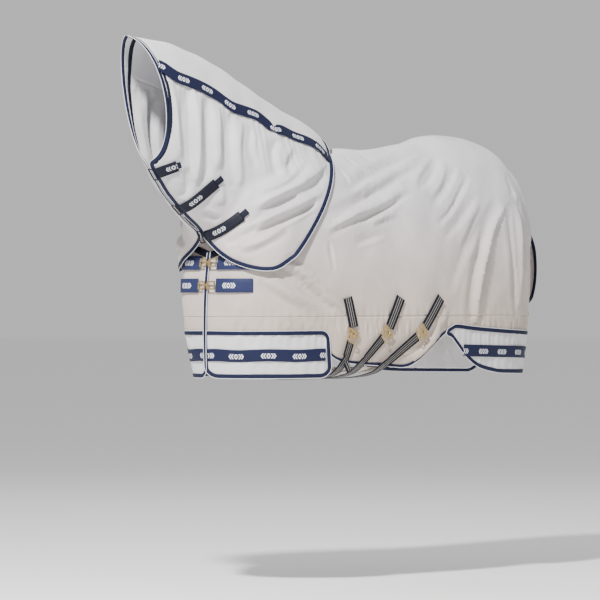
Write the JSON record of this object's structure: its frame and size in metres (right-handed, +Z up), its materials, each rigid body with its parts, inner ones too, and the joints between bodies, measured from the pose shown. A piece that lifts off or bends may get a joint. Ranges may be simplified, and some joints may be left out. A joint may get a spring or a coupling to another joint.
{
  "type": "horse fly sheet",
  "caption": "Mesh fly sheet for a horse in its worn shape, with a detachable neck cover, tail flap, belly flap, hooked surcingles and clipped chest.",
  "frame": {"origin": "where the sheet rests on the horse's withers", "axes": "+X towards the tail, -Y to the near side where it fastens, +Z up"},
  "size_m": [2.1072, 0.6554, 1.2548],
  "materials": {
    "mesh_cloth": "satin",
    "navy_tape": "matte",
    "navy_lining": "matte",
    "striped_webbing": "matte",
    "closure_tape": "matte",
    "gilt_metal": "polished",
    "black_plastic": "satin"
  },
  "bodies": {
    "body_sheet": {"belly_flap": "mesh_cloth", "chest_facing": "mesh_cloth", "chest_ring_lower": "gilt_metal", "chest_ring_upper": "gilt_metal", "left_body_panel": "mesh_cloth", "left_chest_collar": "navy_lining", "left_chest_patch_lower": "navy_tape", "left_chest_patch_upper": "navy_tape", "left_front_hem": "mesh_cloth", "left_front_panel": "mesh_cloth", "left_front_tape": "navy_tape", "left_lower_panel": "mesh_cloth", "left_rear_hem": "mesh_cloth", "left_rear_tape": "navy_tape", "left_shoulder_collar": "navy_lining", "right_body_panel": "mesh_cloth", "right_chest_collar": "navy_lining", "right_chest_patch_lower": "navy_tape", "right_chest_patch_upper": "navy_tape", "right_front_hem": "mesh_cloth", "right_front_panel": "mesh_cloth", "right_front_tape": "navy_tape", "right_lower_panel": "mesh_cloth", "right_rear_hem": "mesh_cloth", "right_rear_tape": "navy_tape", "right_shoulder_collar": "navy_lining", "surcingle_front_hook_strap": "striped_webbing", "surcingle_front_plate": "gilt_metal", "surcingle_front_under_strap": "striped_webbing", "surcingle_front_upper_strap": "striped_webbing", "surcingle_middle_hook_strap": "striped_webbing", "surcingle_middle_plate": "gilt_metal", "surcingle_middle_under_strap": "striped_webbing", "surcingle_middle_upper_strap": "striped_webbing", "surcingle_rear_hook_strap": "striped_webbing", "surcingle_rear_plate": "gilt_metal", "surcingle_rear_under_strap": "striped_webbing", "surcingle_rear_upper_strap": "striped_webbing"},
    "neck_cover": {"neck_crest_panel": "mesh_cloth", "neck_left_panel": "mesh_cloth", "neck_left_tape": "navy_tape", "neck_right_panel": "mesh_cloth", "neck_right_tape": "navy_tape", "throat_ring_1": "black_plastic", "throat_ring_2": "black_plastic", "throat_ring_3": "black_plastic"},
    "throat_tab_1": {"throat_tab_1": "closure_tape"},
    "throat_tab_2": {"throat_tab_2": "closure_tape"},
    "throat_tab_3": {"throat_tab_3": "closure_tape"},
    "tail_flap": {"tail_flap": "mesh_cloth"},
    "surcingle_front_hook": {"surcingle_front_hook": "gilt_metal"},
    "surcingle_middle_hook": {"surcingle_middle_hook": "gilt_metal"},
    "surcingle_rear_hook": {"surcingle_rear_hook": "gilt_metal"},
    "chest_hook_lower": {"chest_hook_lower": "gilt_metal"},
    "chest_hook_upper": {"chest_hook_upper": "gilt_metal"},
    "leg_ring_left": {"leg_ring_left": "gilt_metal"},
    "leg_ring_right": {"leg_ring_right": "gilt_metal"}
  },
  "joints": [
    {"name": "neck_cover_slide", "type": "slide", "parent": "body_sheet", "child": "neck_cover", "axis": [-0.9456, 0, 0.3252], "range_m": [0, 0.55]},
    {"name": "throat_tab_1_peel", "type": "hinge", "parent": "neck_cover", "child": "throat_tab_1", "pos_m": [-0.90791, -0.02224, -0.12002], "axis": [0.6024, -0.1387, -0.7861], "range_deg": [0, 100]},
    {"name": "throat_tab_2_peel", "type": "hinge", "parent": "neck_cover", "child": "throat_tab_2", "pos_m": [-0.78923, -0.02473, -0.24774], "axis": [0.7653, -0.122, -0.6321], "range_deg": [0, 100]},
    {"name": "throat_tab_3_peel", "type": "hinge", "parent": "neck_cover", "child": "throat_tab_3", "pos_m": [-0.66991, -0.02532, -0.34593], "axis": [0.4559, -0.1715, -0.8733], "range_deg": [0, 100]},
    {"name": "tail_flap_lift", "type": "hinge", "parent": "body_sheet", "child": "tail_flap", "pos_m": [0.988, 0, -0.172], "axis": [0, -1, 0], "range_deg": [0, 85]},
    {"name": "surcingle_front_hook_swing", "type": "hinge", "parent": "body_sheet", "child": "surcingle_front_hook", "pos_m": [-0.18893, -0.3065, -0.74105], "axis": [0.9282, -0.075, -0.3643], "range_deg": [0, 75]},
    {"name": "surcingle_middle_hook_swing", "type": "hinge", "parent": "body_sheet", "child": "surcingle_middle_hook", "pos_m": [-0.02994, -0.31679, -0.72629], "axis": [0.6598, -0.048, -0.7499], "range_deg": [0, 75]},
    {"name": "surcingle_rear_hook_swing", "type": "hinge", "parent": "body_sheet", "child": "surcingle_rear_hook", "pos_m": [0.14825, -0.3297, -0.71971], "axis": [0.5368, -0.0032, -0.8437], "range_deg": [0, 75]},
    {"name": "chest_hook_lower_swing", "type": "hinge", "parent": "body_sheet", "child": "chest_hook_lower", "pos_m": [-0.64866, -0.0495, -0.52508], "axis": [0.0777, 0, 0.997], "range_deg": [0, 100]},
    {"name": "chest_hook_upper_swing", "type": "hinge", "parent": "body_sheet", "child": "chest_hook_upper", "pos_m": [-0.63935, -0.0495, -0.44124], "axis": [0.1485, 0, 0.9889], "range_deg": [0, 100]},
    {"name": "leg_ring_left_swing", "type": "hinge", "parent": "body_sheet", "child": "leg_ring_left", "pos_m": [0.99008, -0.12364, -0.6232], "axis": [0, -1, 0], "range_deg": [0, 80]},
    {"name": "leg_ring_right_swing", "type": "hinge", "parent": "body_sheet", "child": "leg_ring_right", "pos_m": [0.99008, 0.12364, -0.6232], "axis": [0, -1, 0], "range_deg": [0, 80]}
  ]
}
